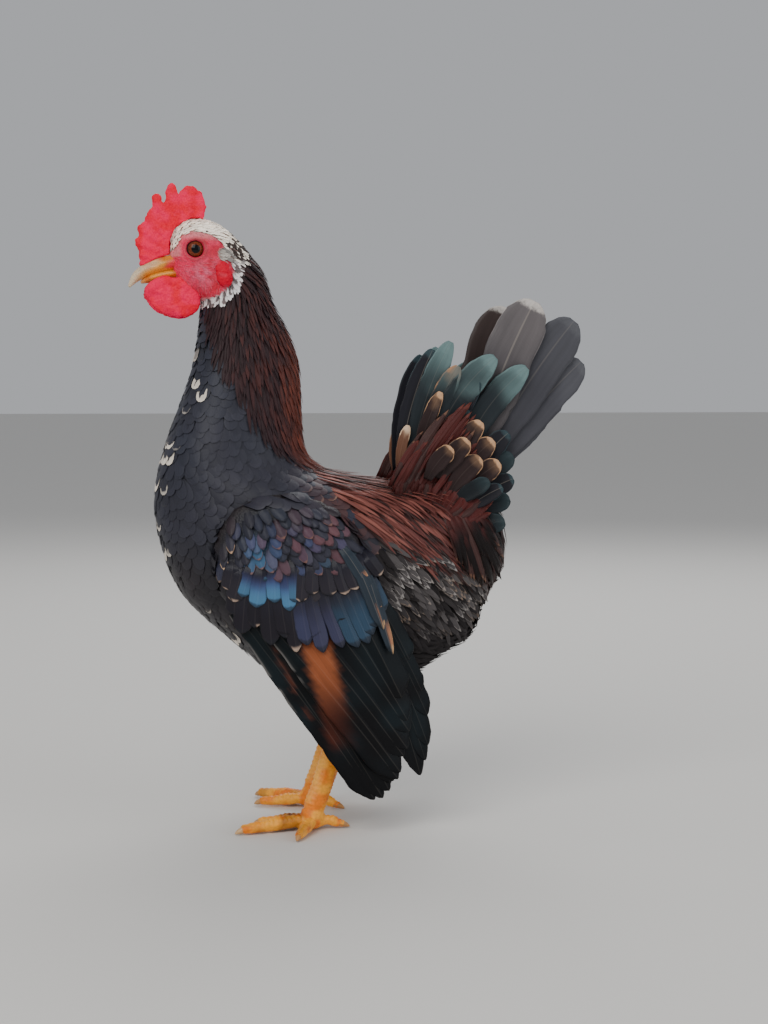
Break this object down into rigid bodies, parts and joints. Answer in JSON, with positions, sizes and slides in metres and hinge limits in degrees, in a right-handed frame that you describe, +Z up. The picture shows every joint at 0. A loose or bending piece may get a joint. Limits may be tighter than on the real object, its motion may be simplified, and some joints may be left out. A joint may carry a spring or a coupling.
{
  "type": "standing bantam cock model",
  "caption": "Life-size still model of a small upright bantam cock with a single comb, slate body, mahogany neck and back, wings let down and tail raised.",
  "frame": {"origin": "bottom centre of the bounding box, on the ground under the middle of the bird", "axes": "+Z up, the bird faces -X and its left side is at -Y"},
  "size_m": [0.1798, 0.0828, 0.2474],
  "materials": {
    "body_plumage": "soft overlapping slate-black feathers",
    "neck_plumage": "soft pointed mahogany feathers",
    "flight_plumage": "smooth dark vanes with a teal sheen",
    "face_skin": "bare pink-red skin with small white feathers",
    "comb_skin": "beaded vivid red skin",
    "beak_horn": "pale horn, yellow at the base",
    "eye": "clear, orange-brown iris and dark pupil",
    "leg_scales": "yellow-orange scaled skin",
    "claw_horn": "pale brown horn"
  },
  "bodies": {
    "root": {"beak_lower": "beak_horn", "beak_upper": "beak_horn", "claw_left_1": "claw_horn", "claw_left_2": "claw_horn", "claw_left_3": "claw_horn", "claw_left_4": "claw_horn", "claw_right_1": "claw_horn", "claw_right_2": "claw_horn", "claw_right_3": "claw_horn", "claw_right_4": "claw_horn", "comb": "comb_skin", "earlobe_left": "comb_skin", "earlobe_right": "comb_skin", "eye_left": "eye", "eye_right": "eye", "foot_left": "leg_scales", "foot_right": "leg_scales", "head": "face_skin", "neck": "neck_plumage", "shank_left": "leg_scales", "shank_right": "leg_scales", "tail": "flight_plumage", "thigh_left": "body_plumage", "thigh_right": "body_plumage", "torso": "body_plumage", "wattle_left": "comb_skin", "wattle_right": "comb_skin", "wing_left": "flight_plumage", "wing_right": "flight_plumage"}
  },
  "joints": []
}
